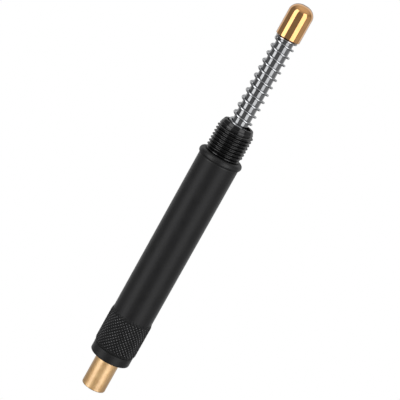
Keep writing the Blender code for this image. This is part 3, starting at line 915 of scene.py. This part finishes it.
class PUMP_OT_rod(bpy.types.Operator):
    """Grind the plunger rod, with its studs, clip groove and pin socket"""

    bl_idname = "pump.rod"
    bl_label = "Rod"

    def execute(self, context):
        clip_groove = rod.radius - CLIP_GROOVE_DEPTH
        top_shoulder = knob.bottom - GAP
        low_shoulder = back_washer.top + GAP
        socket_top = rod.bottom + PIN_SOCKET_DEPTH
        corners = [
            (0.0, rod.top),
            (STUD_RADIUS, rod.top, 0.25 * MM),
            (STUD_RADIUS, top_shoulder),
            (rod.radius, top_shoulder, 0.15 * MM),
            (rod.radius, stop_clip.top + GAP, 0.05 * MM),
            (clip_groove, stop_clip.top + GAP, 0.1 * MM),
            (clip_groove, stop_clip.bottom - GAP, 0.1 * MM),
            (rod.radius, stop_clip.bottom - GAP, 0.05 * MM),
            (rod.radius, low_shoulder, 0.3 * MM),
            (STUD_RADIUS, low_shoulder),
            (STUD_RADIUS, rod.bottom, 0.25 * MM),
            (PIN_SOCKET_RADIUS, rod.bottom),
            (PIN_SOCKET_RADIUS, socket_top),
            (0.0, socket_top),
        ]
        piece = lathe("ground_rod", soften(corners), closed=False)
        smooth(wear(piece, finish_named("ground rod")))
        settle(piece, "plunger", "plunger_rod", slot="bright_steel")
        return {"FINISHED"}


class PUMP_OT_knob(bpy.types.Operator):
    """Turn and polish the domed knob"""

    bl_idname = "pump.knob"
    bl_label = "Knob"

    def execute(self, context):
        dome_base = knob.top - DOME_HEIGHT
        dome = [(0.0, knob.top)]
        for step in range(DOME_STEPS):
            angle = pi / 2 * (1 - step / DOME_STEPS)
            width = DOME_FLAT + (knob.radius - DOME_FLAT) * cos(angle)
            dome.append((width, dome_base + DOME_HEIGHT * sin(angle)))
        socket = STUD_RADIUS + GAP
        socket_top = rod.top + GAP
        corners = dome + [
            (knob.radius, dome_base),
            (knob.radius, knob.bottom, 0.2 * MM),
            (socket, knob.bottom),
            (socket, socket_top),
            (0.0, socket_top),
        ]
        piece = lathe("domed_knob", soften(corners), closed=False)
        smooth(wear(piece, finish_named("polished brass")))
        settle(piece, "plunger", "plunger_knob", slot="polished_brass")
        return {"FINISHED"}


class PUMP_OT_collar(bpy.types.Operator):
    """Turn the front collar, with the threaded spigot that goes up into the barrel"""

    bl_idname = "pump.collar"
    bl_label = "Front Collar"

    def execute(self, context):
        thread = context.scene.pump_threads
        seal_groove = SPIGOT_RADIUS - SEAL_DEPTH
        root = SPIGOT_RADIUS - thread.depth
        thread_bottom = RING_TOP + UNDERCUT
        thread_top = SEAL_BOTTOM - 0.4 * MM
        corners = [
            (SPIGOT_RADIUS, collar.top, 0.5 * MM),
            (SPIGOT_RADIUS, SEAL_TOP, 0.1 * MM),
            (seal_groove, SEAL_TOP, 0.15 * MM),
            (seal_groove, SEAL_BOTTOM, 0.15 * MM),
            (SPIGOT_RADIUS, SEAL_BOTTOM, 0.1 * MM),
            (SPIGOT_RADIUS, thread_bottom),
            (root, thread_bottom),
            (root, RING_TOP),
            (BARREL_RADIUS, RING_TOP, 0.15 * MM),
            (BARREL_RADIUS, collar.bottom, 0.6 * MM),
            (sleeve.radius + GAP, collar.bottom, 0.1 * MM),
            (sleeve.radius + GAP, COLLAR_SEAT),
            (STUB_RADIUS + GAP, COLLAR_SEAT),
            (STUB_RADIUS + GAP, collar.top, 0.2 * MM),
        ]
        spacing = thread.pitch / COLLAR_ROWS_PER_PITCH
        rows = fill_rows(soften(corners), thread_bottom, SEAL_BOTTOM, spacing)
        piece = lathe("front_ring", rows, segments=THREAD_SEGMENTS)
        values = {
            "Bottom": thread_bottom - MM * 0.01, "Top": thread_top,
            "Pitch": thread.pitch, "Start": 0.0, "Crest Radius": SPIGOT_RADIUS,
            "Depth": thread.depth, "Finish": finish_named("anodised collar"),
        }
        grow(piece, thread_tree(), values)
        smooth(split_quads(piece))
        settle(piece, "front_end", "front_collar", slot="black_anodised")
        return {"FINISHED"}


class PUMP_OT_sleeve(bpy.types.Operator):
    """Turn the brass sleeve that holds the nozzle"""

    bl_idname = "pump.sleeve"
    bl_label = "Brass Sleeve"

    def execute(self, context):
        corners = [
            (STUB_RADIUS, sleeve.top, 0.2 * MM),
            (STUB_RADIUS, STUB_BOTTOM),
            (sleeve.radius, STUB_BOTTOM, 0.15 * MM),
            (sleeve.radius, sleeve.bottom, 0.35 * MM),
            (SLEEVE_BORE_RADIUS, sleeve.bottom, 0.25 * MM),
            (SLEEVE_BORE_RADIUS, sleeve.top, 0.2 * MM),
        ]
        piece = smooth(wear(lathe("brass_sleeve", soften(corners)), finish_named("satin brass")))
        settle(piece, "front_end", "nozzle_sleeve", slot="satin_brass")
        return {"FINISHED"}


class PUMP_OT_nozzle(bpy.types.Operator):
    """Turn the heat-proof tube that lines the brass sleeve"""

    bl_idname = "pump.nozzle"
    bl_label = "Nozzle Lining"

    def execute(self, context):
        corners = [
            (nozzle.radius, nozzle.top, 0.2 * MM),
            (nozzle.radius, nozzle.bottom, 0.3 * MM),
            (NOZZLE_BORE_RADIUS, nozzle.bottom, 0.3 * MM),
            (NOZZLE_BORE_RADIUS, nozzle.top, 0.4 * MM),
        ]
        piece = smooth(wear(lathe("nozzle_lining", soften(corners), segments=96), finish_named("PTFE")))
        settle(piece, "front_end", "nozzle_tube", slot="white_ptfe")
        return {"FINISHED"}


class PUMP_OT_inner_pieces(bpy.types.Operator):
    """Give the pieces inside the barrel their finishes"""

    bl_idname = "pump.inner_pieces"
    bl_label = "Inner Pieces"

    def execute(self, context):
        finishes = {
            "rod_guide_bush": "bronze",
            "bush_retaining_ring": "spring steel",
            "stop_bumper": "rubber",
            "spring_seat_washer": "zinc plate",
            "collar_o_ring": "rubber",
            "nozzle_o_ring": "rubber",
            "nozzle_lock_nut": "zinc plate",
            "landing_bumper": "rubber",
            "piston_o_ring_lower": "rubber",
            "piston_o_ring_upper": "rubber",
            "stop_clip": "spring steel",
            "piston_body": "turned aluminium",
            "piston_back_washer": "zinc plate",
            "piston_front_washer": "zinc plate",
            "piston_nut": "zinc plate",
            "cleaning_pin": "ground rod",
        }
        for node, name in finishes.items():
            wear(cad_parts[node], finish_named(name))
        return {"FINISHED"}


class PUMP_OT_stage(bpy.types.Operator):
    """Set up the pale floor, the soft boxes, the dim room and the camera"""

    bl_idname = "pump.stage"
    bl_label = "Stage"

    def execute(self, context):
        scene = context.scene
        stage = scene.pump_stage
        self.add_floor()
        for name, azimuth, spread, share in SOFT_BOXES:
            self.add_soft_box(scene, name, azimuth, spread, stage.brightness * share)
        self.add_room(scene, stage)
        self.add_camera(scene, stage)
        scene.view_settings.view_transform = "Standard"
        return {"FINISHED"}

    def add_floor(self):
        bpy.ops.mesh.primitive_plane_add(size=FLOOR_SIZE, location=(0.0, 0.0, -FLOOR_DROP))
        floor = bpy.context.object
        floor.name = "pale_floor"
        material = bpy.data.materials.new("lit white paper")
        material.use_nodes = True
        tree = material.node_tree
        tree.nodes.remove(tree.nodes["Principled BSDF"])
        glow = tree.nodes.new("ShaderNodeEmission")
        glow.inputs["Color"].default_value = (1.0, 1.0, 1.0, 1.0)
        tree.links.new(glow.outputs[0], tree.nodes["Material Output"].inputs["Surface"])
        floor.data.materials.append(material)
        floor.visible_glossy = False

    def add_soft_box(self, scene, name, azimuth, spread, brightness):
        """Upright panel that faces the pump; the azimuth is counted from the camera's side."""
        width = 2 * SOFT_BOX_DISTANCE * tan(radians(spread / 2))
        panel = bpy.data.lights.new(name, "AREA")
        panel.shape = "RECTANGLE"
        panel.size = width
        panel.size_y = SOFT_BOX_HEIGHT
        panel.energy = brightness * pi * width * SOFT_BOX_HEIGHT
        lamp = bpy.data.objects.new(name, panel)
        angle = radians(azimuth)
        middle = Vector((0.0, 0.0, (CAD_BOX[0][2] + CAD_BOX[1][2]) / 2))
        lamp.location = middle + Vector((sin(angle), -cos(angle), 0.0)) * SOFT_BOX_DISTANCE
        lamp.rotation_euler = (pi / 2, 0.0, angle)
        lamp.visible_camera = False
        scene.collection.objects.link(lamp)

    def add_room(self, scene, stage):
        """White to the camera and behind the pump, dim elsewhere, lighter overhead, dark underneath."""
        world = bpy.data.worlds.new("studio room")
        world.use_nodes = True
        scene.world = world
        graph = Graph(world.node_tree)
        x, y, z = graph.split(graph.node("ShaderNodeTexCoord").outputs["Generated"])
        sheets = graph.math("MULTIPLY", graph.ramp(y, 0.42, 0.58), graph.ramp(y, 0.86, 0.97, 1.0, 0.35))
        behind = graph.math("MULTIPLY", sheets, graph.ramp(z, -0.55, -0.25, 0.0, stage.backdrop))
        overhead = graph.ramp(z, 0.5, 0.95, 0.0, 0.4)
        beside = graph.ramp(x, 0.8, 0.96, 0.0, 0.2)
        underneath = graph.ramp(z, -0.75, -0.4, 0.12, 1.0)
        room = graph.math("MULTIPLY", graph.total(overhead, beside, stage.room), underneath)
        shade = graph.math("MAXIMUM", room, behind)
        seen = graph.node("ShaderNodeLightPath").outputs["Is Camera Ray"]
        background = world.node_tree.nodes["Background"]
        graph.feed(background.inputs["Strength"], graph.math("MAXIMUM", shade, seen))
        background.inputs["Color"].default_value = (1.0, 1.0, 1.0, 1.0)

    def add_camera(self, scene, stage):
        camera = bpy.data.objects.new("camera", bpy.data.cameras.new("camera"))
        camera.data.lens = stage.lens
        camera.data.sensor_width = 36.0
        camera.data.clip_start = 0.01
        away = Vector((0.0, -cos(stage.tilt), sin(stage.tilt)))
        target = Vector((stage.aside, 0.0, stage.aim))
        camera.location = target + away * stage.distance
        camera.rotation_mode = "QUATERNION"
        look = (-away).to_track_quat("-Z", "Y")
        camera.rotation_quaternion = look @ Quaternion((0.0, 0.0, 1.0), stage.roll)
        scene.collection.objects.link(camera)
        scene.camera = camera


class PUMP_PT_panel(bpy.types.Panel):
    bl_idname = "PUMP_PT_panel"
    bl_label = "Desoldering Pump"
    bl_space_type = "VIEW_3D"
    bl_region_type = "UI"
    bl_category = "Pump"

    def draw(self, context):
        scene = context.scene
        for group in SETTINGS:
            settings = getattr(scene, group)
            box = self.layout.box()
            for name in settings.__annotations__:
                box.prop(settings, name)
        for operator in OPERATORS:
            self.layout.operator(operator.bl_idname)


SETTINGS = {
    "pump_knurl": KnurlSettings,
    "pump_threads": ThreadSettings,
    "pump_spring": SpringSettings,
    "pump_finishes": FinishSettings,
    "pump_stage": StageSettings,
}
OPERATORS = (
    PUMP_OT_stage,
    PUMP_OT_barrel,
    PUMP_OT_neck,
    PUMP_OT_bead,
    PUMP_OT_spring,
    PUMP_OT_rod,
    PUMP_OT_knob,
    PUMP_OT_collar,
    PUMP_OT_sleeve,
    PUMP_OT_nozzle,
    PUMP_OT_inner_pieces,
)


def register():
    for made in (*SETTINGS.values(), *OPERATORS, PUMP_PT_panel):
        bpy.utils.register_class(made)
    for name, settings in SETTINGS.items():
        setattr(bpy.types.Scene, name, PointerProperty(type=settings))


def unregister():
    for name in SETTINGS:
        delattr(bpy.types.Scene, name)
    for made in (PUMP_PT_panel, *reversed(OPERATORS), *SETTINGS.values()):
        bpy.utils.unregister_class(made)


def main():
    register()
    for operator in OPERATORS:
        group, name = operator.bl_idname.split(".")
        getattr(getattr(bpy.ops, group), name)()


if __name__ == "__main__":
    main()
